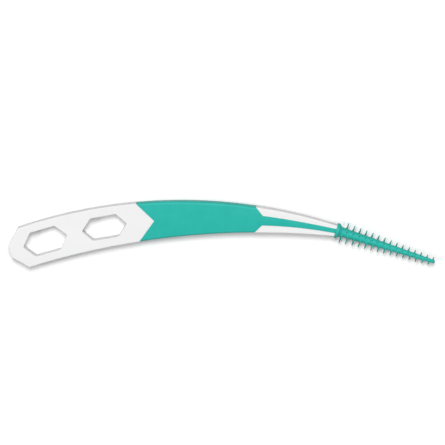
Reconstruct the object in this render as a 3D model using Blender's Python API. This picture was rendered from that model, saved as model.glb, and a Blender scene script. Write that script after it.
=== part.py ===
"""Rubber interdental pick: a curved rigid handle with a soft grip and a bristled soft tip.

The object is a two-shot moulding. The rigid first shot is one plate with two windows, a thin web
under the grip, a neck and a core pin. The soft second shot is the grip round the web, a strip in
each channel of the neck, and the collar, sleeve and bristles round the core pin.

Frame, in metres: the handle follows an arc, the spine, in the XY plane. The origin is at the
spine's crown, where it runs along +X, on the back face of the grip. +X runs towards the bristled
tip, +Y towards the handle's convex edge, and +Z out of the front face.
"""

import math

import bmesh
import bpy
from mathutils import Matrix, Vector

# Spine of the handle: its radius, and lengths along it. The neck starts at the grip's front corners.
SPINE_RADIUS = 0.1115
BUTT_TAPER = 0.00265
SHOULDER_TO_GRIP = 0.02216
GRIP_BEHIND_CROWN = 0.0138
GRIP_BEFORE_CROWN = 0.00835
NECK_LENGTH = 0.01526

# Plate of the handle: widths across it at four places, thickness, and rounding. The butt's flat end
# lies off the spine, towards the convex edge.
BUTT_WIDTH = 0.0023
BUTT_OFFSET = 0.00012
SHOULDER_WIDTH = 0.00778
CROWN_WIDTH = 0.0061
NECK_WIDTH = 0.00205
PLATE_THICKNESS = 0.0020
NECK_THICKNESS = 0.0016
EDGE_ROUND = 0.00015
BUTT_CORNER_RADIUS = 0.0006
SHOULDER_CORNER_RADIUS = 0.0004

# Hexagonal windows through the plate. Their rims are the plate's width that each leaves at its sides.
WINDOW_LENGTH = 0.00862
WINDOW_FLAT = 0.0048
REAR_WINDOW_RIM = 0.00157
FRONT_WINDOW_RIM = 0.00168
WINDOW_BAR = 0.0029
WINDOW_TO_BUTT = 0.0027
WINDOW_CORNER_RADIUS = 0.0004
WINDOW_EDGE_ROUND = 0.00012

# Lean of the butt's end, the windows and the grip's rear: how far off square to the spine they are cut
REAR_LEAN_DEG = 3.2

# Grip: its arrow-shaped rear, its funnel-shaped front, and how far its faces stand proud of the plate
ARROW_DEPTH = 0.00318
FUNNEL_DEPTH = 0.00137
GRIP_PROUD = 0.00008

# Web that runs on under the grip, with round ports for the grip's plugs
WEB_THICKNESS = 0.0009
WEB_INSET = 0.0007
PORT_RADIUS = 0.0009
PORT_PITCH = 0.0048
PORT_COUNT = 4

# Strips along the neck, one in a channel of each face
STRIP_REAR_WIDTH = 0.00186
STRIP_FRONT_WIDTH = 0.00086
STRIP_TAPER_POWER = 1.5
CHANNEL_DEPTH = 0.00035

# Sleeve of the pick, round the core pin. The cant is the angle from the neck's end to the sleeve.
SLEEVE_CANT_DEG = 6.2
SLEEVE_LENGTH = 0.01956
SLEEVE_ROOT_DIAMETER = 0.0019
SLEEVE_TIP_DIAMETER = 0.00065
TIP_ROUND = 0.00025
COLLAR_DIAMETER = 0.00288
COLLAR_RIM = 0.00058
COLLAR_ROUND = 0.00012
FLARE_LENGTH = 0.0010
FLARE_POWER = 3

# Core pin inside the sleeve. Its root stands back by a small step from the neck's channels.
PIN_STEP = 0.00002
PIN_TIP_DIAMETER = 0.0003
PIN_END_WALL = 0.0009

# Bristles round the sleeve
BRISTLE_ROWS = 6
BRISTLE_PITCH = 0.001226
BRISTLE_FIRST = 0.00131
TIP_BARE = 0.00035
BRISTLE_ROOT_REACH = 0.0022
BRISTLE_TIP_REACH = 0.00082
BRISTLE_ROOT_WIDTH = 0.0003
BRISTLE_LAST_WIDTH = 0.00023
BRISTLE_END_SHARE = 0.42

# Gap between the two shots, depth to which joined solids reach into each other, overrun of a cut
SHOT_GAP = 0.00002
JOIN_BURY = 0.0005
OVERRUN = 0.0008

# Counts of facets
SPINE_STATIONS = 48
ROUND_STEPS = 4
CORNER_STEPS = 4
SLEEVE_SIDES = 24
PORT_SIDES = 20
BRISTLE_SIDES = 4

# Places along the spine, counted from its crown
GRIP_REAR = -GRIP_BEHIND_CROWN
GRIP_FRONT = GRIP_BEFORE_CROWN
SHOULDER = GRIP_REAR - SHOULDER_TO_GRIP
BUTT_END = SHOULDER - BUTT_TAPER
APEX = GRIP_REAR + ARROW_DEPTH
MOUTH = GRIP_FRONT + FUNNEL_DEPTH
NECK_TIP = GRIP_FRONT + NECK_LENGTH

# Heights that follow from the sizes above
MID_HEIGHT = GRIP_PROUD + PLATE_THICKNESS / 2
PLATE_LOW = GRIP_PROUD
PLATE_HIGH = GRIP_PROUD + PLATE_THICKNESS
GRIP_HIGH = PLATE_HIGH + GRIP_PROUD
WALL_HALF = PLATE_THICKNESS / 2 - CHANNEL_DEPTH
PIN_ROOT_RADIUS = WALL_HALF * NECK_THICKNESS / PLATE_THICKNESS - PIN_STEP
LEAN = math.tan(math.radians(REAR_LEAN_DEG))


def spine_point(along, across=0.0):
    """The point this far along the spine from its crown, and this far across it towards +Y."""
    angle = along / SPINE_RADIUS
    radius = SPINE_RADIUS + across
    return Vector((radius * math.sin(angle), radius * math.cos(angle) - SPINE_RADIUS))


def spine_direction(along):
    """The spine's direction at this place, towards the tip."""
    angle = along / SPINE_RADIUS
    return Vector((math.cos(angle), -math.sin(angle)))


def square_to(direction):
    """The direction square to this one, on its left."""
    return Vector((-direction.y, direction.x))


def half_width(along):
    """Half the plate's width at this place: a parabola through the three named widths."""
    places = (SHOULDER, 0.0, NECK_TIP)
    halves = (SHOULDER_WIDTH / 2, CROWN_WIDTH / 2, NECK_WIDTH / 2)
    total = 0.0
    for own, half in enumerate(halves):
        weight = 1.0
        for other, place in enumerate(places):
            if other != own:
                weight *= (along - place) / (places[own] - place)
        total += weight * half
    return total


def strip_half_width(along):
    """Half a strip's width at this place, tapering from the grip to the collar, at first faster."""
    share = min(1.0, max(0.0, (NECK_TIP - along) / (NECK_TIP - MOUTH)))
    return (STRIP_FRONT_WIDTH + (STRIP_REAR_WIDTH - STRIP_FRONT_WIDTH) * share ** STRIP_TAPER_POWER) / 2


NECK_END = spine_point(NECK_TIP)
SLEEVE_ANGLE = NECK_TIP / SPINE_RADIUS + math.radians(SLEEVE_CANT_DEG)
SLEEVE_DIRECTION = Vector((math.cos(SLEEVE_ANGLE), -math.sin(SLEEVE_ANGLE)))
SLEEVE_PLACE = Matrix.Translation((NECK_END.x, NECK_END.y, MID_HEIGHT))
SLEEVE_FRAME = SLEEVE_PLACE @ Matrix.Rotation(-SLEEVE_ANGLE, 4, 'Z')


def stations(start, end):
    """Places along the spine from start to end: both, and every station of the plate between."""
    step = (NECK_TIP - SHOULDER) / SPINE_STATIONS
    inner = (SHOULDER + index * step for index in range(SPINE_STATIONS + 1))
    margin = step / 4
    return [start] + [place for place in inner if start + margin < place < end - margin] + [end]


def band(start, end, half_of, grow=0.0):
    """A closed outline along the spine between two places, counter-clockwise from its rear."""
    places = stations(start, end)
    lower = [spine_point(place, -half_of(place) - grow) for place in places]
    upper = [spine_point(place, half_of(place) + grow) for place in places]
    return lower + upper[::-1]


def rounded_corner(before, corner, after, radius):
    """Points of the arc that rounds a corner of an outline, limited by the corner's own sides."""
    back = before - corner
    ahead = after - corner
    half_angle = back.angle(ahead) / 2
    reach = min(radius / math.tan(half_angle), back.length / 2, ahead.length / 2)
    arc_radius = reach * math.tan(half_angle)
    start = corner + back.normalized() * reach
    centre = corner + (back.normalized() + ahead.normalized()).normalized() * reach / math.cos(half_angle)
    sweep = (start - centre).angle_signed(corner + ahead.normalized() * reach - centre)
    spoke = (start - centre).normalized() * arc_radius
    turns = (Matrix.Rotation(-sweep * step / CORNER_STEPS, 2) for step in range(CORNER_STEPS + 1))
    return [centre + turn @ spoke for turn in turns]


def rounded_outline(outline, corners):
    """The outline with an arc at each corner, where corners maps a point's index to its radius."""
    points = []
    for index, point in enumerate(outline):
        if index in corners:
            after = outline[(index + 1) % len(outline)]
            points += rounded_corner(outline[index - 1], point, after, corners[index])
        else:
            points.append(point)
    return points


def offset_outline(outline, distance):
    """The counter-clockwise outline moved outwards by a distance, with mitred corners."""
    moved = []
    for index, point in enumerate(outline):
        before = (point - outline[index - 1]).normalized()
        after = (outline[(index + 1) % len(outline)] - point).normalized()
        normals = -square_to(before), -square_to(after)
        mitre = (normals[0] + normals[1]) / (1.0 + normals[0].dot(normals[1]))
        moved.append(point + mitre * distance)
    return moved


def new_object(name, bm, material=None):
    """A mesh object of this name, with its faces pointing out."""
    bmesh.ops.recalc_face_normals(bm, faces=bm.faces)
    mesh = bpy.data.meshes.new(name)
    bm.to_mesh(mesh)
    bm.free()
    obj = bpy.data.objects.new(name, mesh)
    bpy.context.collection.objects.link(obj)
    if material is not None:
        mesh.materials.append(material)
    return obj


def lofted(name, loops, material=None):
    """A solid whose skin runs through closed loops of equally many points, capped at both ends."""
    bm = bmesh.new()
    rings = [[bm.verts.new(point) for point in loop] for loop in loops]
    for lower, upper in zip(rings, rings[1:]):
        for index in range(len(lower)):
            following = (index + 1) % len(lower)
            bm.faces.new((lower[index], lower[following], upper[following], upper[index]))
    bm.faces.new(rings[0][::-1])
    bm.faces.new(rings[-1])
    return new_object(name, bm, material)


def prism(name, outline, low, high, material=None):
    """The outline drawn out from one height to another."""
    bm = bmesh.new()
    floor = bm.faces.new([bm.verts.new((point.x, point.y, low)) for point in outline])
    raised = bmesh.ops.extrude_face_region(bm, geom=[floor])
    tops = [part for part in raised['geom'] if isinstance(part, bmesh.types.BMVert)]
    bmesh.ops.translate(bm, verts=tops, vec=(0.0, 0.0, high - low))
    return new_object(name, bm, material)


def rounded_slab(name, outline, low, high, edge_round, material=None):
    """The outline drawn out from one height to another, with both rims rounded."""
    turns = [math.pi / 2 * step / ROUND_STEPS for step in range(ROUND_STEPS + 1)]
    rims = [(edge_round * (1 - math.cos(turn)), edge_round * (math.sin(turn) - 1)) for turn in turns]
    levels = [(low + rise, grow) for rise, grow in rims]
    levels += [(high - rise, grow) for rise, grow in reversed(rims)]
    loops = []
    for height, grow in levels:
        loops.append([(point.x, point.y, height) for point in offset_outline(outline, grow)])
    return lofted(name, loops, material)


def flared_cutter(name, outline, low, high, edge_round):
    """A cutter for a hole through a slab, flared so that it leaves both rims of the hole rounded."""
    turns = [math.pi / 2 * step / ROUND_STEPS for step in range(ROUND_STEPS + 1)]
    rims = [(edge_round * (1 - math.cos(turn)), edge_round * (1 - math.sin(turn))) for turn in turns]
    levels = [(low - OVERRUN, edge_round)]
    levels += [(low + sink, grow) for sink, grow in rims]
    levels += [(high - sink, grow) for sink, grow in reversed(rims)]
    levels += [(high + OVERRUN, edge_round)]
    loops = []
    for height, grow in levels:
        loops.append([(point.x, point.y, height) for point in offset_outline(outline, grow)])
    return lofted(name, loops)


def cylinder(name, centre, radius, low, high):
    """An upright cylinder."""
    bm = bmesh.new()
    bmesh.ops.create_cone(
        bm,
        cap_ends=True,
        segments=PORT_SIDES,
        radius1=radius,
        radius2=radius,
        depth=high - low,
        matrix=Matrix.Translation((centre.x, centre.y, (low + high) / 2)),
    )
    return new_object(name, bm)


def turned(name, profile, material=None):
    """A solid of revolution on the sleeve's axis, from (distance along it, radius) pairs."""
    loops = []
    for along, radius in profile:
        loop = []
        for side in range(SLEEVE_SIDES):
            angle = 2 * math.pi * side / SLEEVE_SIDES
            loop.append((along, radius * math.cos(angle), radius * math.sin(angle)))
        loops.append(loop)
    obj = lofted(name, loops, material)
    obj.matrix_world = SLEEVE_FRAME
    return obj


def combine(target, tool, operation):
    """Cut the target by the tool, or join or cross them, and remove the tool."""
    bpy.context.view_layer.update()
    modifier = target.modifiers.new(operation, 'BOOLEAN')
    modifier.object = tool
    modifier.operation = operation
    modifier.solver = 'EXACT'
    graph = bpy.context.evaluated_depsgraph_get()
    mesh = bpy.data.meshes.new_from_object(target.evaluated_get(graph))
    target.modifiers.clear()
    old = target.data
    target.data = mesh
    mesh.name = target.name
    bpy.data.meshes.remove(old)
    bpy.data.objects.remove(tool)


def moulded_material(name, color, roughness):
    """A plain plastic or rubber of this colour."""
    material = bpy.data.materials.new(name)
    material.use_nodes = True
    shader = material.node_tree.nodes["Principled BSDF"]
    shader.inputs["Base Color"].default_value = (*color, 1.0)
    shader.inputs["Roughness"].default_value = roughness
    shader.inputs["Metallic"].default_value = 0.0
    return material


def zone_outline(inset=0.0):
    """Outline of the grip's zone: an arrow-shaped rear, open sides and a funnel-shaped front.

    Its slanted lines run on past the plate's edges, as far as its open sides lie from them.
    """
    rear_half = half_width(GRIP_REAR)
    front_half = half_width(GRIP_FRONT)
    mouth_half = STRIP_REAR_WIDTH / 2
    rear_share = (rear_half + OVERRUN) / rear_half
    front_share = (front_half + OVERRUN - mouth_half) / (front_half - mouth_half)
    sides = []
    for sign in (-1, 1):
        corner = GRIP_REAR + sign * rear_half * LEAN
        rear = spine_point(APEX).lerp(spine_point(corner, sign * rear_half), rear_share)
        open_side = stations(APEX - (APEX - corner) * rear_share, MOUTH - FUNNEL_DEPTH * front_share)[1:-1]
        run = [spine_point(place, sign * (half_width(place) + OVERRUN)) for place in open_side]
        mouth = spine_point(MOUTH, sign * mouth_half)
        front = mouth.lerp(spine_point(GRIP_FRONT, sign * front_half), front_share)
        sides.append([rear] + run + [front, mouth])
    outline = [spine_point(APEX)] + sides[0] + sides[1][::-1]
    return offset_outline(outline, -inset)


def web_solid(name, gap=0.0):
    """The web under the grip, or with a gap round it, the space that the grip leaves for it."""
    outline = band(GRIP_REAR - JOIN_BURY, MOUTH + JOIN_BURY, half_width, gap - WEB_INSET)
    reach = WEB_THICKNESS / 2 + gap
    return prism(name, outline, MID_HEIGHT - reach, MID_HEIGHT + reach)


def port_centres():
    """The centres of the web's ports, spread evenly about the middle of the grip."""
    first = (APEX + GRIP_FRONT - (PORT_COUNT - 1) * PORT_PITCH) / 2
    return [spine_point(first + index * PORT_PITCH) for index in range(PORT_COUNT)]


def core_outline():
    """Outline of the plate from the butt to the neck, run on past the neck's end to be trimmed."""
    sides = []
    for sign in (-1, 1):
        end_across = BUTT_OFFSET + sign * BUTT_WIDTH / 2
        butt = spine_point(BUTT_END + end_across * LEAN, end_across)
        shoulder = SHOULDER + sign * SHOULDER_WIDTH / 2 * LEAN
        run = [spine_point(place, sign * half_width(place)) for place in stations(shoulder, NECK_TIP)]
        beyond = run[-1] + (run[-1] - run[-2]).normalized() * OVERRUN
        sides.append([butt] + run + [beyond])
    outline = sides[0] + sides[1][::-1]
    last = len(outline) - 1
    corners = {0: BUTT_CORNER_RADIUS, 1: SHOULDER_CORNER_RADIUS}
    corners.update({last - 1: SHOULDER_CORNER_RADIUS, last: BUTT_CORNER_RADIUS})
    return rounded_outline(outline, corners)


def end_trim(name):
    """A block beyond the neck's end, square to the sleeve."""
    across = square_to(SLEEVE_DIRECTION) * COLLAR_DIAMETER
    far = NECK_END + SLEEVE_DIRECTION * (COLLAR_DIAMETER + OVERRUN)
    outline = [NECK_END - across, far - across, far + across, NECK_END + across]
    return prism(name, outline, -OVERRUN, GRIP_HIGH + OVERRUN)


def window_outline(centre_along, rim):
    """A long hexagon along the spine, as high as its rims leave it, with rounded corners."""
    half_height = half_width(centre_along) - rim
    centre = spine_point(centre_along)
    ahead = spine_direction(centre_along)
    across = square_to(ahead) + ahead * LEAN
    corners = [
        centre - ahead * WINDOW_LENGTH / 2,
        centre - ahead * WINDOW_FLAT / 2 - across * half_height,
        centre + ahead * WINDOW_FLAT / 2 - across * half_height,
        centre + ahead * WINDOW_LENGTH / 2,
        centre + ahead * WINDOW_FLAT / 2 + across * half_height,
        centre - ahead * WINDOW_FLAT / 2 + across * half_height,
    ]
    return rounded_outline(corners, {index: WINDOW_CORNER_RADIUS for index in range(len(corners))})


def thin_towards_neck(obj):
    """Thin the neck evenly about its middle height, from the grip's front to the collar."""
    for vertex in obj.data.vertices:
        centre = Vector((0.0, -SPINE_RADIUS))
        place = vertex.co.xy - centre
        along = math.atan2(place.x, place.y) * SPINE_RADIUS
        share = max(0.0, (along - GRIP_FRONT) / NECK_LENGTH)
        scale = 1.0 + (NECK_THICKNESS / PLATE_THICKNESS - 1.0) * share
        vertex.co.z = MID_HEIGHT + (vertex.co.z - MID_HEIGHT) * scale


def pin_radius(along):
    """Radius of the core pin at this distance from the neck's end."""
    share = along / (SLEEVE_LENGTH - PIN_END_WALL)
    return PIN_ROOT_RADIUS + (PIN_TIP_DIAMETER / 2 - PIN_ROOT_RADIUS) * share


def sleeve_radius(along):
    """Radius of the plain tapered sleeve at this distance from the neck's end."""
    share = along / SLEEVE_LENGTH
    return (SLEEVE_ROOT_DIAMETER + (SLEEVE_TIP_DIAMETER - SLEEVE_ROOT_DIAMETER) * share) / 2


def pin_profile(start, gap=0.0):
    """Profile of the core pin, or with a gap round it, of the sleeve's blind bore."""
    end = SLEEVE_LENGTH - PIN_END_WALL
    soft = PIN_TIP_DIAMETER / 4
    return [
        (start, PIN_ROOT_RADIUS + gap),
        (0.0, PIN_ROOT_RADIUS + gap),
        (end - soft, pin_radius(end - soft) + gap),
        (end + gap, pin_radius(end) - soft + gap),
    ]


def sleeve_profile():
    """Outer profile of the sleeve: flat collar face, collar rim, hollow flare, cone and round tip."""
    collar = COLLAR_DIAMETER / 2
    profile = [(SHOT_GAP, collar - COLLAR_ROUND), (SHOT_GAP + COLLAR_ROUND, collar)]
    profile += [(COLLAR_RIM - COLLAR_ROUND, collar), (COLLAR_RIM, collar - COLLAR_ROUND)]
    flare_end = COLLAR_RIM + FLARE_LENGTH
    for step in range(1, ROUND_STEPS + 1):
        share = step / ROUND_STEPS
        along = COLLAR_RIM + FLARE_LENGTH * share
        excess = collar - COLLAR_ROUND - sleeve_radius(flare_end)
        profile.append((along, sleeve_radius(flare_end) + excess * (1 - share) ** FLARE_POWER))
    cone_end = SLEEVE_LENGTH - TIP_ROUND
    profile.append((cone_end, sleeve_radius(cone_end)))
    for step in range(1, ROUND_STEPS):
        turn = math.pi / 2 * step / ROUND_STEPS
        profile.append((cone_end + TIP_ROUND * math.sin(turn), sleeve_radius(cone_end) * math.cos(turn)))
    return profile


def bristle_stations(turn):
    """Distances of one row's bristles from the neck's end. Rows on the +Y side start half a pitch later."""
    first = BRISTLE_FIRST
    if math.cos(turn) > 0:
        first += BRISTLE_PITCH / 2
    count = math.floor((SLEEVE_LENGTH - TIP_BARE - first) / BRISTLE_PITCH) + 1
    return [first + index * BRISTLE_PITCH for index in range(count)]


def bristles(name):
    """All bristles in one mesh: tapered strands square to the axis, rooted inside the sleeve's wall."""
    bm = bmesh.new()
    upright = Matrix.Rotation(-math.pi / 2, 4, 'X')
    for row in range(BRISTLE_ROWS):
        angle = 2 * math.pi * row / BRISTLE_ROWS
        turn = Matrix.Rotation(angle, 4, 'X')
        for along in bristle_stations(angle):
            share = along / SLEEVE_LENGTH
            tip = BRISTLE_ROOT_REACH + (BRISTLE_TIP_REACH - BRISTLE_ROOT_REACH) * share
            root = (sleeve_radius(along) + pin_radius(along) + SHOT_GAP) / 2
            width = BRISTLE_ROOT_WIDTH + (BRISTLE_LAST_WIDTH - BRISTLE_ROOT_WIDTH) * share
            middle = Matrix.Translation((along, (root + tip) / 2, 0.0))
            bmesh.ops.create_cone(
                bm,
                cap_ends=True,
                segments=BRISTLE_SIDES,
                radius1=width / 2,
                radius2=width / 2 * BRISTLE_END_SHARE,
                depth=tip - root,
                matrix=turn @ middle @ upright,
            )
    obj = new_object(name, bm)
    obj.matrix_world = SLEEVE_FRAME
    return obj


def build_handle_core(material):
    """The rigid shot: plate with two windows, web with ports, neck with channels, and core pin."""
    core = rounded_slab("handle_core", core_outline(), PLATE_LOW, PLATE_HIGH, EDGE_ROUND, material)
    first = BUTT_END + WINDOW_TO_BUTT + WINDOW_LENGTH / 2
    for index, rim in enumerate((REAR_WINDOW_RIM, FRONT_WINDOW_RIM)):
        outline = window_outline(first + index * (WINDOW_LENGTH + WINDOW_BAR), rim)
        window = flared_cutter("window_cutter", outline, PLATE_LOW, PLATE_HIGH, WINDOW_EDGE_ROUND)
        combine(core, window, 'DIFFERENCE')
    combine(core, prism("zone_cutter", zone_outline(), -OVERRUN, GRIP_HIGH + OVERRUN), 'DIFFERENCE')
    combine(core, web_solid("web"), 'UNION')
    for centre in port_centres():
        port = cylinder("port_cutter", centre, PORT_RADIUS, -OVERRUN, GRIP_HIGH + OVERRUN)
        combine(core, port, 'DIFFERENCE')
    channel = band(MOUTH - JOIN_BURY, NECK_TIP + OVERRUN, strip_half_width)
    front_channel = prism("front_channel", channel, MID_HEIGHT + WALL_HALF, GRIP_HIGH + OVERRUN)
    combine(core, front_channel, 'DIFFERENCE')
    back_channel = prism("back_channel", channel, -OVERRUN, MID_HEIGHT - WALL_HALF)
    combine(core, back_channel, 'DIFFERENCE')
    combine(core, end_trim("neck_trim"), 'DIFFERENCE')
    thin_towards_neck(core)
    combine(core, turned("core_pin", pin_profile(-JOIN_BURY)), 'UNION')
    return core


def build_grip(material):
    """The soft grip: rounded over the plate's edges, hollow where the web runs, plugged into its ports."""
    blank = band(GRIP_REAR - OVERRUN, MOUTH + OVERRUN, half_width)
    grip = rounded_slab("grip_overmould", blank, 0.0, GRIP_HIGH, EDGE_ROUND, material)
    combine(grip, prism("zone_limit", zone_outline(SHOT_GAP), -OVERRUN, GRIP_HIGH + OVERRUN), 'INTERSECT')
    space = web_solid("web_space", SHOT_GAP)
    for centre in port_centres():
        plug = cylinder("plug", centre, PORT_RADIUS - SHOT_GAP, -OVERRUN, GRIP_HIGH + OVERRUN)
        combine(space, plug, 'DIFFERENCE')
    combine(grip, space, 'DIFFERENCE')
    return grip


def build_strip(name, low, high, material):
    """One soft strip along the neck, from the grip's mouth to the collar."""
    outline = band(MOUTH + SHOT_GAP, NECK_TIP + OVERRUN, strip_half_width, -SHOT_GAP)
    strip = prism(name, outline, low, high, material)
    combine(strip, end_trim("strip_trim"), 'DIFFERENCE')
    thin_towards_neck(strip)
    return strip


def build_sleeve(material):
    """The soft sleeve: collar, cone with a blind bore for the core pin, and its bristles."""
    sleeve = turned("pick_sleeve", sleeve_profile(), material)
    combine(sleeve, turned("bore_cutter", pin_profile(-OVERRUN, SHOT_GAP)), 'DIFFERENCE')
    combine(sleeve, bristles("bristle_strands"), 'UNION')
    return sleeve


def shade(obj):
    """Smooth shading with sharp edges kept."""
    obj.data.shade_smooth()
    obj.data.set_sharp_from_angle(angle=math.radians(30.0))


def main():
    for obj in list(bpy.data.objects):
        bpy.data.objects.remove(obj)
    rigid = moulded_material("white_polypropylene", (0.88, 0.88, 0.88), 0.35)
    soft = moulded_material("teal_elastomer", (0.04, 0.49, 0.41), 0.55)
    floor = MID_HEIGHT + WALL_HALF + SHOT_GAP
    ceiling = MID_HEIGHT - WALL_HALF - SHOT_GAP
    pieces = [
        build_handle_core(rigid),
        build_grip(soft),
        build_strip("neck_strip_front", floor, GRIP_HIGH, soft),
        build_strip("neck_strip_back", 0.0, ceiling, soft),
        build_sleeve(soft),
    ]
    for piece in pieces:
        shade(piece)


main()
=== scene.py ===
"""Rubber interdental pick, lying on a white studio floor and seen almost straight down."""

import math
import random

import bmesh
import bpy
from mathutils import Matrix, Vector


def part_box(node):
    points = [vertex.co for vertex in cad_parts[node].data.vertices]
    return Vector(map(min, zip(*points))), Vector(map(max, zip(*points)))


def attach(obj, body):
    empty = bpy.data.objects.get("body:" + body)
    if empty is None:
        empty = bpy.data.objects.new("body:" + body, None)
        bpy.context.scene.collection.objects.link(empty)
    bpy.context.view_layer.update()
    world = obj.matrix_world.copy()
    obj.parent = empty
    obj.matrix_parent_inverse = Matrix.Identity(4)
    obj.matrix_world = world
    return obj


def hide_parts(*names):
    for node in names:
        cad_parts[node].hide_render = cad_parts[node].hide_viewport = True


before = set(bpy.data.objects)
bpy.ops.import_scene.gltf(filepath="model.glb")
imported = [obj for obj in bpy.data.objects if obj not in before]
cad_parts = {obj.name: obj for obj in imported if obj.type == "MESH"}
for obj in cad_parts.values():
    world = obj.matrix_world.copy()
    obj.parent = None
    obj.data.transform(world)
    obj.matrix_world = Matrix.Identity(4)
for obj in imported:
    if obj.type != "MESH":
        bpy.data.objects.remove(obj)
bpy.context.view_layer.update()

# The part's own sizes, in metres. Places along the spine of the handle, counted from its crown
SPINE_RADIUS = 0.1115
SHOULDER = -0.03596
GRIP_REAR = -0.0138
APEX = -0.01062
GRIP_FRONT = 0.00835
MOUTH = 0.00972
NECK_TIP = 0.02361
LEAN = math.tan(math.radians(3.2))

# Handle: widths at its shoulder, crown and neck, thicknesses, and the grip's edges and web
SHOULDER_WIDTH = 0.00778
CROWN_WIDTH = 0.0061
NECK_WIDTH = 0.00205
PLATE_THICKNESS = 0.0020
NECK_THICKNESS = 0.0016
GRIP_PROUD = 0.00008
GRIP_BACK_ROUND = 0.0006
GRIP_FRONT_ROUND = 0.00045
WEB_THICKNESS = 0.0009
WEB_INSET = 0.0007
PORT_RADIUS = 0.0009
PORT_PITCH = 0.0048
PORT_COUNT = 4
STRIP_REAR_WIDTH = 0.00186
STRIP_FRONT_WIDTH = 0.00086
STRIP_TAPER_POWER = 1.5
CHANNEL_DEPTH = 0.00035
SHOT_GAP = 0.00002
RIM_ROUND = 0.00005
MID_HEIGHT = GRIP_PROUD + PLATE_THICKNESS / 2
GRIP_HIGH = PLATE_THICKNESS + 2 * GRIP_PROUD

# Fineness of the grip's form: pitch of its places along the spine, steps of its rounds, sides of a plug
SPINE_PITCH = 0.0008
EDGE_STEPS = 8
RIM_STEPS = 4
PLUG_SIDES = 32

# How far cutting forms run past what they cut, the step that gives the spine's direction, and tolerances
OVERRUN = 0.0008
TANGENT_STEP = 0.0001
CUT_TOLERANCE = 1e-8
WELD_DISTANCE = 1e-7
SMOOTH_BELOW_DEG = 40.0

# Sleeve of the pick, with the blind bore round the core pin
SLEEVE_CANT_DEG = 6.2
SLEEVE_LENGTH = 0.01956
SLEEVE_ROOT_DIAMETER = 0.0019
SLEEVE_TIP_DIAMETER = 0.00065
TIP_ROUND = 0.00025
COLLAR_DIAMETER = 0.00288
COLLAR_RIM = 0.00058
COLLAR_ROUND = 0.00012
COLLAR_LAST_DEG = 10
FLARE_LENGTH = 0.0010
FLARE_POWER = 3
BORE_ROOT_RADIUS = 0.00052
BORE_TIP_RADIUS = 0.00017
BORE_END_WALL = 0.0009

# Fineness of the sleeve: sides round its axis, and steps along its collar's rounds, flare, cone and tip
SLEEVE_SIDES = 56
COLLAR_STEPS = 5
FLARE_STEPS = 12
CONE_STEPS = 24
TIP_STEPS = 8

# Bristles: rows round the sleeve, pitch along it, reach from its axis, thickness, and chance
BRISTLE_ROWS = 6
BRISTLE_PITCH = 0.001226
BRISTLE_FIRST = 0.00131
TIP_BARE = 0.00035
BRISTLE_ROOT_REACH = 0.0022
BRISTLE_TIP_REACH = 0.00082
BRISTLE_ROOT_WIDTH = 0.0003
BRISTLE_LAST_WIDTH = 0.00023
BRISTLE_END_SHARE = 0.6
BRISTLE_SIDES = 10
BRISTLE_SEED = 7
BRISTLE_LENGTH_SPREAD = (-0.025, 0.015)
BRISTLE_LEAN_DEG = 2.5

# One bristle's form: its flared root, its shaft, and its rounded end, as bristle_levels reads them
BRISTLE_FLARE = ((-0.00012, 1.9), (0.00002, 1.55), (0.00007, 1.2), (0.00014, 1.02))
BRISTLE_SHAFT_START = 0.00018
BRISTLE_SHAFT = (0.3, 0.5, 0.7, 0.86)
BRISTLE_END = ((0.55, 1.0), (0.15, 0.72), (0.0, 0.3))
BRISTLE_LEAST_RISE = 0.000004

# Camera fitted to the photograph's outline: angles from straight down, distance, and focal length
IMAGE_SIZE = 445
CAMERA_TILT_DEG = 13.829
CAMERA_SIDE_DEG = 2.38
CAMERA_ROLL_DEG = -0.576
CAMERA_DISTANCE = 0.64568
CAMERA_TARGET = Vector((0.002178, -0.001036, 0.001))
CAMERA_FOCAL_PIXELS = 3439.93
CAMERA_NEAR = 0.01
CAMERA_FAR = 10.0
SENSOR_WIDTH = 36.0

# Colours that each material's clouds vary between, and its range of roughness
WHITE_RANGE = ((0.870, 0.870, 0.869), (0.892, 0.892, 0.892))
TEAL_RANGE = ((0.008, 0.442, 0.374), (0.015, 0.468, 0.399))
WHITE_ROUGHNESS = (0.34, 0.44)
TEAL_ROUGHNESS = (0.50, 0.62)

# How light each row of bristles is painted beside the sleeve, from the handle's convex side over the front:
# the two rows in the handle's plane get painted shade and the rows at 60 and 300 degrees painted light, for
# how the light falls on the thin strands
ROW_PAINTED_SHADING = (0.55, 1.4, 1.0, 0.55, 1.0, 1.4)

# Sizes of the clouds of tone, the smears of gloss, and the waves and grain of the moulded skin
WHITE_CLOUD = 0.006
WHITE_SMEAR = 0.0012
WHITE_WAVE = 0.003
WHITE_WAVE_DEPTH = 0.00002
WHITE_GRAIN = 0.00009
TEAL_CLOUD = 0.0025
TEAL_SMEAR = 0.0008
TEAL_WAVE = 0.0016
TEAL_WAVE_DEPTH = 0.000015
GRIP_GRAIN = 0.00008
SLEEVE_GRAIN = 0.00005
GRAIN_DEPTH = 0.000006
NOISE_ROUGHNESS = 0.55
NOISE_USUAL = (0.3, 0.7)

# Light: the world's share of the plain level, and the soft lamps that give the rest of it
WORLD_LEVEL = 0.17
LAMP_DISTANCE = 2.5

# Each lamp's name, share, angle from straight up, direction counted from +X towards +Y, and width
LAMPS = (
    ("key_lamp", 0.60, 32.0, 90.0, 1.15),
    ("left_lamp", 0.14, 50.0, 180.0, 0.7),
    ("right_lamp", 0.12, 30.0, 0.0, 0.7),
)

# Floor: what it bounces, what the camera sees added, how far it spreads, and where it meets the pick
FLOOR_BOUNCE = 0.15
FLOOR_LIFT = 0.08
FLOOR_HALF = 1.5
FLOOR_REAR_INSET = 0.001
FLOOR_FRONT_REACH = 0.002
BRISTLE_SETTLING = 0.0005


def spine_point(along, across=0.0, height=0.0):
    """The point this far along the handle's centreline from its crown, and this far across it."""
    angle = along / SPINE_RADIUS
    radius = SPINE_RADIUS + across
    return Vector((radius * math.sin(angle), radius * math.cos(angle) - SPINE_RADIUS, height))


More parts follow.
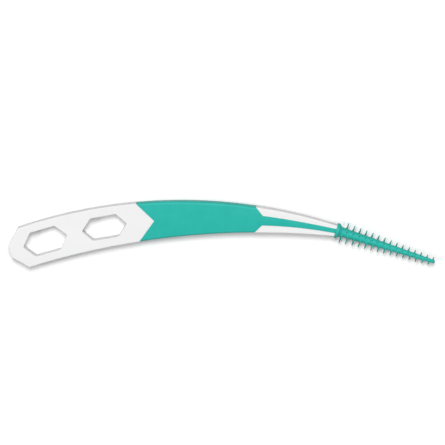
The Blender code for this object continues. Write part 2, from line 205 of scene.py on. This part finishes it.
SLEEVE_ANGLE = NECK_TIP / SPINE_RADIUS + math.radians(SLEEVE_CANT_DEG)
SLEEVE_PLACE = spine_point(NECK_TIP, height=MID_HEIGHT)
SLEEVE_FRAME = Matrix.Translation(SLEEVE_PLACE) @ Matrix.Rotation(-SLEEVE_ANGLE, 4, 'Z')


# Materials

class Nodes:
    """A material's node tree, with short calls that add nodes and link them."""

    def __init__(self, name):
        self.material = bpy.data.materials.new(name)
        self.material.use_nodes = True
        self.tree = self.material.node_tree
        self.shader = self.tree.nodes["Principled BSDF"]
        self.output = self.tree.nodes["Material Output"]
        self.place = self.add("ShaderNodeTexCoord").outputs["Object"]

    def add(self, kind, **settings):
        node = self.tree.nodes.new(kind)
        for key, value in settings.items():
            setattr(node, key, value)
        return node

    def link(self, source, target):
        self.tree.links.new(source, target)

    def noise(self, size, detail=3.0, stretch=(1.0, 1.0, 1.0)):
        """Noise whose grains are about this size in metres."""
        mapping = self.add("ShaderNodeMapping")
        mapping.inputs["Scale"].default_value = [axis / size for axis in stretch]
        self.link(self.place, mapping.inputs["Vector"])
        noise = self.add("ShaderNodeTexNoise")
        noise.inputs["Scale"].default_value = 1.0
        noise.inputs["Detail"].default_value = detail
        noise.inputs["Roughness"].default_value = NOISE_ROUGHNESS
        self.link(mapping.outputs["Vector"], noise.inputs["Vector"])
        return noise.outputs["Fac"]

    def spread(self, value, low=0.0, high=1.0):
        """A noise's usual range spread over another range."""
        node = self.add("ShaderNodeMapRange")
        node.inputs["From Min"].default_value = NOISE_USUAL[0]
        node.inputs["From Max"].default_value = NOISE_USUAL[1]
        node.inputs["To Min"].default_value = low
        node.inputs["To Max"].default_value = high
        self.link(value, node.inputs["Value"])
        return node.outputs["Result"]

    def mixed(self, fac, first, second):
        """A colour between two, by a value from 0 to 1."""
        node = self.add("ShaderNodeMix", data_type='RGBA')
        self.link(fac, node.inputs[0])
        node.inputs[6].default_value = (*first, 1.0)
        node.inputs[7].default_value = (*second, 1.0)
        return node.outputs[2]

    def bump(self, height, depth, below=None):
        """A bump of this depth in metres, laid over another one where there is one below."""
        node = self.add("ShaderNodeBump")
        node.inputs["Strength"].default_value = 1.0
        node.inputs["Distance"].default_value = depth
        self.link(height, node.inputs["Height"])
        if below is not None:
            self.link(below, node.inputs["Normal"])
        return node.outputs["Normal"]


def handle_plastic():
    """White polypropylene: satin mould grain, faint flow marks, and a little light passing through."""
    nodes = Nodes("white_polypropylene_satin")
    cloud = nodes.spread(nodes.noise(WHITE_CLOUD, stretch=(0.5, 1.0, 1.0)))
    nodes.link(nodes.mixed(cloud, *WHITE_RANGE), nodes.shader.inputs["Base Color"])
    smear = nodes.noise(WHITE_SMEAR, stretch=(0.35, 1.0, 1.0))
    nodes.link(nodes.spread(smear, *WHITE_ROUGHNESS), nodes.shader.inputs["Roughness"])
    waves = nodes.bump(nodes.noise(WHITE_WAVE, detail=1.0), WHITE_WAVE_DEPTH)
    grain = nodes.bump(nodes.noise(WHITE_GRAIN, detail=2.0), GRAIN_DEPTH, below=waves)
    nodes.link(grain, nodes.shader.inputs["Normal"])
    nodes.shader.inputs["IOR"].default_value = 1.49
    nodes.shader.inputs["Subsurface Weight"].default_value = 0.15
    nodes.shader.inputs["Subsurface Radius"].default_value = (1.0, 0.95, 0.9)
    nodes.shader.inputs["Subsurface Scale"].default_value = 0.0006
    return nodes.material


def soft_elastomer(name, grain_size, painted_shading=1.0):
    """Teal thermoplastic elastomer: soft matte, with a fine grain and clouds of its own colour, darkened or
    lightened by a factor as painted shade or painted light.
    """
    nodes = Nodes(name)
    cloud = nodes.spread(nodes.noise(TEAL_CLOUD))
    # The factor scales both colours: below 1 it is painted shade, above 1 painted light; the grip and
    # sleeve body keep 1.
    darker, lighter = (tuple(channel * painted_shading for channel in color) for color in TEAL_RANGE)
    nodes.link(nodes.mixed(cloud, darker, lighter), nodes.shader.inputs["Base Color"])
    smear = nodes.noise(TEAL_SMEAR)
    nodes.link(nodes.spread(smear, *TEAL_ROUGHNESS), nodes.shader.inputs["Roughness"])
    waves = nodes.bump(nodes.noise(TEAL_WAVE, detail=1.0), TEAL_WAVE_DEPTH)
    grain = nodes.bump(nodes.noise(grain_size, detail=2.0), GRAIN_DEPTH, below=waves)
    nodes.link(grain, nodes.shader.inputs["Normal"])
    nodes.shader.inputs["IOR"].default_value = 1.40
    nodes.shader.inputs["Sheen Weight"].default_value = 0.12
    nodes.shader.inputs["Sheen Roughness"].default_value = 0.5
    nodes.shader.inputs["Subsurface Weight"].default_value = 0.10
    nodes.shader.inputs["Subsurface Radius"].default_value = (0.3, 1.0, 0.9)
    nodes.shader.inputs["Subsurface Scale"].default_value = 0.0004
    return nodes.material


def seen_share(tree):
    """1 for a ray from the camera, or for one mirrored or passed on from it, and 0 for others."""
    path = tree.nodes.new("ShaderNodeLightPath")
    share = path.outputs["Is Camera Ray"]
    for kind in ("Is Glossy Ray", "Is Transmission Ray"):
        either = tree.nodes.new("ShaderNodeMath")
        either.operation = 'MAXIMUM'
        tree.links.new(share, either.inputs[0])
        tree.links.new(path.outputs[kind], either.inputs[1])
        share = either.outputs[0]
    return share


def floor_material():
    """White paper that takes a shadow. The camera sees it a little lifted, so it meets the white world."""
    nodes = Nodes("white_studio_floor")
    nodes.tree.nodes.remove(nodes.shader)
    plain = nodes.add("ShaderNodeBsdfDiffuse")
    plain.inputs["Color"].default_value = (FLOOR_BOUNCE, FLOOR_BOUNCE, FLOOR_BOUNCE, 1.0)
    white = nodes.add("ShaderNodeBsdfDiffuse")
    white.inputs["Color"].default_value = (1.0, 1.0, 1.0, 1.0)
    lift = nodes.add("ShaderNodeEmission")
    lift.inputs["Strength"].default_value = FLOOR_LIFT
    lifted = nodes.add("ShaderNodeAddShader")
    nodes.link(white.outputs[0], lifted.inputs[0])
    nodes.link(lift.outputs[0], lifted.inputs[1])
    mix = nodes.add("ShaderNodeMixShader")
    nodes.link(seen_share(nodes.tree), mix.inputs[0])
    nodes.link(plain.outputs[0], mix.inputs[1])
    nodes.link(lifted.outputs[0], mix.inputs[2])
    nodes.link(mix.outputs[0], nodes.output.inputs["Surface"])
    return nodes.material


# Forms

def half_width(along):
    """Half the plate's width at this place: a parabola through the three named widths."""
    places = (SHOULDER, 0.0, NECK_TIP)
    halves = (SHOULDER_WIDTH / 2, CROWN_WIDTH / 2, NECK_WIDTH / 2)
    total = 0.0
    for own, half in enumerate(halves):
        weight = 1.0
        for other, place in enumerate(places):
            if other != own:
                weight *= (along - place) / (places[own] - place)
        total += weight * half
    return total


def strip_half_width(along):
    """Half a strip's width at this place, tapering from the grip to the collar, at first faster."""
    share = min(1.0, max(0.0, (NECK_TIP - along) / (NECK_TIP - MOUTH)))
    return (STRIP_FRONT_WIDTH + (STRIP_REAR_WIDTH - STRIP_FRONT_WIDTH) * share ** STRIP_TAPER_POWER) / 2


def places_between(start, end):
    """Evenly spread places along the spine, both ends among them."""
    count = max(2, round((end - start) / SPINE_PITCH))
    return [start + (end - start) * step / count for step in range(count + 1)]


def band(start, end, half_of, grow=0.0):
    """A closed outline along the spine between two places, counter-clockwise from its rear."""
    places = places_between(start, end)
    lower = [spine_point(place, -half_of(place) - grow) for place in places]
    upper = [spine_point(place, half_of(place) + grow) for place in places]
    return lower + upper[::-1]


def soft_outline():
    """Outline of the grip and strips: arrow-shaped rear, open sides, funnel, and the long strip.

    The open sides run outside the plate, and the strip runs on past the neck's end, to be trimmed.
    """
    rear_half = half_width(GRIP_REAR)
    front_half = half_width(GRIP_FRONT)
    mouth_half = STRIP_REAR_WIDTH / 2
    rear_share = (rear_half + OVERRUN) / rear_half
    front_share = (front_half + OVERRUN - mouth_half) / (front_half - mouth_half)
    open_end = MOUTH - (MOUTH - GRIP_FRONT) * front_share
    apex = spine_point(APEX)
    sides = []
    for sign in (-1, 1):
        corner = GRIP_REAR + sign * rear_half * LEAN
        open_start = APEX - (APEX - corner) * rear_share
        side = [apex.lerp(spine_point(corner, sign * rear_half), rear_share)]
        for place in places_between(open_start, open_end)[1:-1]:
            side.append(spine_point(place, sign * (half_width(place) + OVERRUN)))
        mouth = spine_point(MOUTH, sign * mouth_half)
        side.append(mouth.lerp(spine_point(GRIP_FRONT, sign * front_half), front_share))
        for place in places_between(MOUTH, NECK_TIP + OVERRUN):
            side.append(spine_point(place, sign * strip_half_width(place)))
        sides.append(side)
    return [apex] + sides[0] + sides[1][::-1]


def offset_outline(outline, distance):
    """The counter-clockwise outline moved outwards by a distance, with mitred corners."""
    moved = []
    for index, point in enumerate(outline):
        before = (point - outline[index - 1]).normalized()
        after = (outline[(index + 1) % len(outline)] - point).normalized()
        normals = Vector((before.y, -before.x, 0.0)), Vector((after.y, -after.x, 0.0))
        moved.append(point + (normals[0] + normals[1]) / (1.0 + normals[0].dot(normals[1])) * distance)
    return moved


def lofted(name, outline, levels):
    """A solid whose skin runs through the outline at each level, a height and how far it is grown."""
    bm = bmesh.new()
    rings = []
    for height, grow in levels:
        rings.append([bm.verts.new((point.x, point.y, height)) for point in offset_outline(outline, grow)])
    for lower, upper in zip(rings, rings[1:]):
        for index in range(len(lower)):
            following = (index + 1) % len(lower)
            bm.faces.new((lower[index], lower[following], upper[following], upper[index]))
    bm.faces.new(rings[0][::-1])
    bm.faces.new(rings[-1])
    bmesh.ops.recalc_face_normals(bm, faces=bm.faces)
    mesh = bpy.data.meshes.new(name)
    bm.to_mesh(mesh)
    bm.free()
    solid = bpy.data.objects.new(name, mesh)
    bpy.context.scene.collection.objects.link(solid)
    return solid


def rounded_levels(low, high, low_radius, high_radius, steps, beyond=0.0):
    """Levels of a solid with both rims rounded, run straight on beyond its faces where that is asked."""
    turns = [math.pi / 2 * step / steps for step in range(steps + 1)]
    shares = [(1 - math.cos(turn), math.sin(turn) - 1) for turn in turns]
    levels = [(low + low_radius * rise, low_radius * grow) for rise, grow in shares]
    levels += [(high - high_radius * rise, high_radius * grow) for rise, grow in reversed(shares)]
    if beyond:
        levels = [(low - beyond, -low_radius)] + levels + [(high + beyond, -high_radius)]
    return levels


def combine(target, tool, operation):
    """Cut the tool from the target, or keep only what both share, and remove the tool."""
    bpy.context.view_layer.update()
    modifier = target.modifiers.new(operation, 'BOOLEAN')
    modifier.object = tool
    modifier.operation = operation
    modifier.solver = 'EXACT'
    graph = bpy.context.evaluated_depsgraph_get()
    mesh = bpy.data.meshes.new_from_object(target.evaluated_get(graph))
    target.modifiers.clear()
    old = target.data
    target.data = mesh
    bpy.data.meshes.remove(old)
    bpy.data.objects.remove(tool)


def upright_cylinder(name, centre, radius):
    """A cylinder through the whole thickness, for a plug of the grip."""
    circle = []
    for side in range(PLUG_SIDES):
        turn = 2 * math.pi * side / PLUG_SIDES
        circle.append(centre + Vector((radius * math.cos(turn), radius * math.sin(turn), 0.0)))
    return lofted(name, circle, [(-OVERRUN, 0.0), (GRIP_HIGH + OVERRUN, 0.0)])


def cut_web_space(blank):
    """Cut out the room of the handle's thin web, but leave the plugs that fill its ports."""
    web_half = WEB_THICKNESS / 2 + SHOT_GAP
    web = lofted(
        "web_space",
        band(GRIP_REAR - OVERRUN, MOUTH + OVERRUN, half_width, SHOT_GAP - WEB_INSET),
        [(MID_HEIGHT - web_half, 0.0), (MID_HEIGHT + web_half, 0.0)],
    )
    first = (APEX + GRIP_FRONT - (PORT_COUNT - 1) * PORT_PITCH) / 2
    for index in range(PORT_COUNT):
        centre = spine_point(first + index * PORT_PITCH)
        combine(web, upright_cylinder("plug", centre, PORT_RADIUS - SHOT_GAP), 'DIFFERENCE')
    combine(blank, web, 'DIFFERENCE')


def cut_neck_space(blank):
    """Cut out the room of the neck's wall, which parts the front strip from the back one."""
    wall_half = PLATE_THICKNESS / 2 - CHANNEL_DEPTH + SHOT_GAP
    wall = lofted(
        "wall_space",
        band(MOUTH - SHOT_GAP, NECK_TIP + 3 * OVERRUN, half_width, OVERRUN),
        [(MID_HEIGHT - wall_half, 0.0), (MID_HEIGHT + wall_half, 0.0)],
    )
    combine(blank, wall, 'DIFFERENCE')


def trim_at_sleeve(bm):
    """Cut the strips off square to the sleeve, where its collar begins, and close their ends."""
    sleeve_ahead = SLEEVE_FRAME.to_3x3() @ Vector((1.0, 0.0, 0.0))
    cut = bmesh.ops.bisect_plane(
        bm,
        geom=bm.verts[:] + bm.edges[:] + bm.faces[:],
        dist=CUT_TOLERANCE,
        plane_co=SLEEVE_PLACE,
        plane_no=sleeve_ahead,
        clear_outer=True,
    )
    rim = [part for part in cut["geom_cut"] if isinstance(part, bmesh.types.BMEdge)]
    bmesh.ops.holes_fill(bm, edges=rim)


def thin_towards_neck(bm):
    """Thin the strips evenly about their middle height, from the grip's front to the collar.

    They are cut across at each place of the spine first, so that their faces can slope.
    """
    for place in places_between(GRIP_FRONT, NECK_TIP):
        everything = bm.verts[:] + bm.edges[:] + bm.faces[:]
        here = spine_point(place)
        ahead = (spine_point(place + TANGENT_STEP) - here).normalized()
        bmesh.ops.bisect_plane(bm, geom=everything, dist=CUT_TOLERANCE, plane_co=here, plane_no=ahead)
    for vertex in bm.verts:
        along = math.atan2(vertex.co.x, vertex.co.y + SPINE_RADIUS) * SPINE_RADIUS
        share = max(0.0, (along - GRIP_FRONT) / (NECK_TIP - GRIP_FRONT))
        scale = 1.0 + (NECK_THICKNESS / PLATE_THICKNESS - 1.0) * share
        vertex.co.z = MID_HEIGHT + (vertex.co.z - MID_HEIGHT) * scale


def build_soft_grip(material):
    """The grip and both strips as the one moulding that they are, round the web and the neck."""
    blank = lofted(
        "soft_blank",
        band(GRIP_REAR - OVERRUN, NECK_TIP + 2 * OVERRUN, half_width),
        rounded_levels(0.0, GRIP_HIGH, GRIP_BACK_ROUND, GRIP_FRONT_ROUND, EDGE_STEPS),
    )
    limit = lofted(
        "soft_limit",
        offset_outline(soft_outline(), -SHOT_GAP),
        rounded_levels(0.0, GRIP_HIGH, RIM_ROUND, RIM_ROUND, RIM_STEPS, OVERRUN),
    )
    combine(blank, limit, 'INTERSECT')
    cut_web_space(blank)
    cut_neck_space(blank)
    bm = bmesh.new()
    bm.from_mesh(blank.data)
    bpy.data.objects.remove(blank)
    trim_at_sleeve(bm)
    thin_towards_neck(bm)
    piece = make_piece("soft_grip_form", bm, material)
    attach(piece, "root")
    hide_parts("grip_overmould", "neck_strip_front", "neck_strip_back")


def sleeve_radius(along):
    """Radius of the plain tapered sleeve at this distance from the neck's end."""
    share = along / SLEEVE_LENGTH
    return (SLEEVE_ROOT_DIAMETER + (SLEEVE_TIP_DIAMETER - SLEEVE_ROOT_DIAMETER) * share) / 2


def arc(centre_along, centre_radius, radius, start_deg, end_deg, steps):
    """Points of a rounded rim in a profile, as (distance along the axis, radius) pairs."""
    points = []
    for step in range(steps + 1):
        turn = math.radians(start_deg + (end_deg - start_deg) * step / steps)
        points.append((centre_along + radius * math.cos(turn), centre_radius + radius * math.sin(turn)))
    return points


def sleeve_profile():
    """Profile of the sleeve from its bore's mouth, round the collar, to just before the tip."""
    inner = COLLAR_DIAMETER / 2 - COLLAR_ROUND
    profile = [(SHOT_GAP, BORE_ROOT_RADIUS)]
    profile += arc(SHOT_GAP + COLLAR_ROUND, inner, COLLAR_ROUND, 180, 90, COLLAR_STEPS)
    profile += arc(COLLAR_RIM - COLLAR_ROUND, inner, COLLAR_ROUND, 90, COLLAR_LAST_DEG, COLLAR_STEPS)
    flare_end = COLLAR_RIM + FLARE_LENGTH
    excess = inner - sleeve_radius(flare_end)
    for step in range(1, FLARE_STEPS + 1):
        share = step / FLARE_STEPS
        flared = sleeve_radius(flare_end) + excess * (1 - share) ** FLARE_POWER
        profile.append((COLLAR_RIM + FLARE_LENGTH * share, flared))
    cone_end = SLEEVE_LENGTH - TIP_ROUND
    for step in range(1, CONE_STEPS + 1):
        along = flare_end + (cone_end - flare_end) * step / CONE_STEPS
        profile.append((along, sleeve_radius(along)))
    for step in range(1, TIP_STEPS):
        turn = math.pi / 2 * step / TIP_STEPS
        profile.append((cone_end + TIP_ROUND * math.sin(turn), sleeve_radius(cone_end) * math.cos(turn)))
    return profile


def lathe(bm, profile):
    """Skin of a profile turned round the X axis, as its rings of vertices from first to last."""
    rings = []
    for along, radius in profile:
        ring = []
        for side in range(SLEEVE_SIDES):
            turn = 2 * math.pi * side / SLEEVE_SIDES
            ring.append(bm.verts.new((along, radius * math.cos(turn), radius * math.sin(turn))))
        rings.append(ring)
    for inner, outer in zip(rings, rings[1:]):
        for side in range(SLEEVE_SIDES):
            following = (side + 1) % SLEEVE_SIDES
            bm.faces.new((inner[side], inner[following], outer[following], outer[side]))
    return rings


def add_sleeve_body(bm):
    """The collar, flare and cone, with a rounded tip and the blind bore for the core pin."""
    rings = lathe(bm, sleeve_profile())
    tip = bm.verts.new((SLEEVE_LENGTH, 0.0, 0.0))
    for side in range(SLEEVE_SIDES):
        bm.faces.new((rings[-1][side], rings[-1][(side + 1) % SLEEVE_SIDES], tip))
    bore_end = SLEEVE_LENGTH - BORE_END_WALL
    bore = lathe(bm, [(SHOT_GAP, BORE_ROOT_RADIUS), (bore_end, BORE_TIP_RADIUS)])
    bm.faces.new(bore[-1])
    bmesh.ops.remove_doubles(bm, verts=rings[0] + bore[0], dist=WELD_DISTANCE)


def bristle_stations(turn):
    """Distances of one row's bristles from the neck's end. Rows on the +Y side start half a pitch later."""
    first = BRISTLE_FIRST
    if math.cos(turn) > 0:
        first += BRISTLE_PITCH / 2
    count = math.floor((SLEEVE_LENGTH - TIP_BARE - first) / BRISTLE_PITCH) + 1
    return [first + index * BRISTLE_PITCH for index in range(count)]


def bristle_levels(length, half):
    """Heights and radii of one moulded bristle: a flared root, an even taper, and a rounded end.

    The root is given as heights and shares of the half thickness, the shaft as shares of the length,
    and the end as places back from the tip and radii, both in shares of the thin end's radius.
    """
    thin = half * BRISTLE_END_SHARE
    levels = [(height, half * share) for height, share in BRISTLE_FLARE]
    for share in BRISTLE_SHAFT:
        levels.append((max(length * share, BRISTLE_SHAFT_START), half + (thin - half) * share))
    levels += [(length - thin * back, thin * share) for back, share in BRISTLE_END]
    return levels


def add_bristle(bm, place, root, tip, half, bend, slot):
    """One bent bristle from inside the sleeve's wall at its root to its tip, standing along Y."""
    length = tip - root
    rings = []
    previous = -1.0
    for height, radius in bristle_levels(length, half):
        height = max(height, previous + BRISTLE_LEAST_RISE)
        previous = height
        sway = bend * max(height, 0.0) ** 2 / length
        ring = []
        for side in range(BRISTLE_SIDES):
            turn = 2 * math.pi * side / BRISTLE_SIDES
            point = Vector((radius * math.cos(turn), root + height, radius * math.sin(turn)))
            ring.append(bm.verts.new(place @ (point + Vector((sway.x, 0.0, sway.y)))))
        rings.append(ring)
    for inner, outer in zip(rings, rings[1:]):
        for side in range(BRISTLE_SIDES):
            following = (side + 1) % BRISTLE_SIDES
            skin = bm.faces.new((inner[side], outer[side], outer[following], inner[following]))
            skin.material_index = slot
    bm.faces.new(rings[0]).material_index = slot
    bm.faces.new(rings[-1][::-1]).material_index = slot


def add_bristles(bm):
    """All rows of bristles, each strand a little different from the next, each row in its own painted shade
    or painted light.
    """
    chance = random.Random(BRISTLE_SEED)
    painted_shadings = sorted(set(ROW_PAINTED_SHADING))
    lean = math.tan(math.radians(BRISTLE_LEAN_DEG))
    for row in range(BRISTLE_ROWS):
        angle = 2 * math.pi * row / BRISTLE_ROWS
        turn = Matrix.Rotation(angle, 4, 'X')
        # Each row's material is its painted shade or painted light.
        slot = 1 + painted_shadings.index(ROW_PAINTED_SHADING[row])
        for along in bristle_stations(angle):
            share = along / SLEEVE_LENGTH
            tip = BRISTLE_ROOT_REACH + (BRISTLE_TIP_REACH - BRISTLE_ROOT_REACH) * share
            tip *= 1.0 + chance.uniform(*BRISTLE_LENGTH_SPREAD)
            width = BRISTLE_ROOT_WIDTH + (BRISTLE_LAST_WIDTH - BRISTLE_ROOT_WIDTH) * share
            bend = Vector((chance.uniform(-lean, lean), chance.uniform(-lean, lean)))
            place = turn @ Matrix.Translation((along, 0.0, 0.0))
            add_bristle(bm, place, sleeve_radius(along), tip, width / 2, bend, slot)


def make_piece(name, bm, material):
    """A piece of the scene from a bmesh, smooth between its sharp edges, with its material."""
    bmesh.ops.recalc_face_normals(bm, faces=bm.faces)
    mesh = bpy.data.meshes.new(name)
    bm.to_mesh(mesh)
    bm.free()
    mesh.shade_smooth()
    mesh.set_sharp_from_angle(angle=math.radians(SMOOTH_BELOW_DEG))
    mesh.materials.append(material)
    piece = bpy.data.objects.new(name, mesh)
    bpy.context.scene.collection.objects.link(piece)
    return piece


def build_sleeve():
    """The soft sleeve with its bristles, in place of the plain solid. The bristle rows' painted shade and
    painted light each have their own material.
    """
    bm = bmesh.new()
    add_sleeve_body(bm)
    add_bristles(bm)
    bm.transform(SLEEVE_FRAME)
    own_tone = soft_elastomer("teal_elastomer_sleeve", SLEEVE_GRAIN)
    piece = make_piece("pick_sleeve_form", bm, own_tone)
    # Copies of the teal, darker as painted shade or lighter as painted light, one for each row value.
    for painted_shading in sorted(set(ROW_PAINTED_SHADING)):
        name = "teal_elastomer_bristles_%d" % round(100 * painted_shading)
        piece.data.materials.append(soft_elastomer(name, SLEEVE_GRAIN, painted_shading))
    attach(piece, "root")
    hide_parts("pick_sleeve")


def dress(node, material):
    """Give a carried-over solid its finished material."""
    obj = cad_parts[node]
    obj.data.materials.clear()
    obj.data.materials.append(material)


# Stage, camera and light

def build_floor():
    """A wide white floor under the butt's lower edge, a little above the lowest bristles' tips."""
    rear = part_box("handle_core")[0]
    rear_point = Vector((rear.x + FLOOR_REAR_INSET, 0.0, rear.z))
    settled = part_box("pick_sleeve")[0].z + BRISTLE_SETTLING
    front_point = Vector((spine_point(NECK_TIP).x + FLOOR_FRONT_REACH, 0.0, settled))
    slope = math.atan2(front_point.z - rear_point.z, front_point.x - rear_point.x)
    bm = bmesh.new()
    bmesh.ops.create_grid(bm, x_segments=1, y_segments=1, size=FLOOR_HALF)
    mesh = bpy.data.meshes.new("studio_floor")
    bm.to_mesh(mesh)
    bm.free()
    mesh.materials.append(floor_material())
    floor = bpy.data.objects.new("studio_floor", mesh)
    floor.location = front_point
    floor.rotation_euler = (0.0, -slope, 0.0)
    bpy.context.scene.collection.objects.link(floor)


def build_camera():
    """The photograph's camera, from its fitted angles, distance and focal length."""
    tilt = math.sin(math.radians(CAMERA_TILT_DEG))
    side = math.sin(math.radians(CAMERA_SIDE_DEG))
    back = Vector((side, tilt, math.sqrt(1.0 - side ** 2 - tilt ** 2)))
    right = Vector((0.0, 1.0, 0.0)).cross(back).normalized()
    up = back.cross(right)
    turn = Matrix((right, up, back)).transposed() @ Matrix.Rotation(math.radians(CAMERA_ROLL_DEG), 3, 'Z')
    data = bpy.data.cameras.new("photo_camera")
    data.sensor_width = SENSOR_WIDTH
    data.lens = CAMERA_FOCAL_PIXELS * SENSOR_WIDTH / IMAGE_SIZE
    data.clip_start = CAMERA_NEAR
    data.clip_end = CAMERA_FAR
    camera = bpy.data.objects.new("photo_camera", data)
    camera.matrix_world = Matrix.Translation(CAMERA_TARGET + back * CAMERA_DISTANCE) @ turn.to_4x4()
    bpy.context.scene.collection.objects.link(camera)
    bpy.context.scene.camera = camera


def build_lamps():
    """The soft lamps, each turned to the pick, and as strong as its share of the plain level asks."""
    for name, share, zenith_deg, azimuth_deg, size in LAMPS:
        zenith = math.radians(zenith_deg)
        azimuth = math.radians(azimuth_deg)
        back = Vector((
            math.sin(zenith) * math.cos(azimuth),
            math.sin(zenith) * math.sin(azimuth),
            math.cos(zenith),
        ))
        data = bpy.data.lights.new(name, 'AREA')
        data.shape = 'DISK'
        data.size = size
        data.energy = share * math.pi ** 2 * LAMP_DISTANCE ** 2 / math.cos(zenith)
        lamp = bpy.data.objects.new(name, data)
        lamp.location = back * LAMP_DISTANCE
        lamp.rotation_mode = 'QUATERNION'
        lamp.rotation_quaternion = back.to_track_quat('Z', 'Y')
        bpy.context.scene.collection.objects.link(lamp)


def build_world():
    """An even white world: plain fill light, and white where the camera looks past the floor."""
    world = bpy.data.worlds.new("white_studio")
    world.use_nodes = True
    tree = world.node_tree
    tree.nodes.clear()
    level = tree.nodes.new("ShaderNodeMapRange")
    level.inputs["To Min"].default_value = WORLD_LEVEL
    level.inputs["To Max"].default_value = 1.0
    tree.links.new(seen_share(tree), level.inputs["Value"])
    background = tree.nodes.new("ShaderNodeBackground")
    background.inputs["Color"].default_value = (1.0, 1.0, 1.0, 1.0)
    tree.links.new(level.outputs["Result"], background.inputs["Strength"])
    output = tree.nodes.new("ShaderNodeOutputWorld")
    tree.links.new(background.outputs[0], output.inputs["Surface"])
    bpy.context.scene.world = world


dress("handle_core", handle_plastic())
build_soft_grip(soft_elastomer("teal_elastomer_grip", GRIP_GRAIN))
build_sleeve()
build_floor()
build_camera()
build_lamps()
build_world()
bpy.context.scene.view_settings.view_transform = 'Standard'
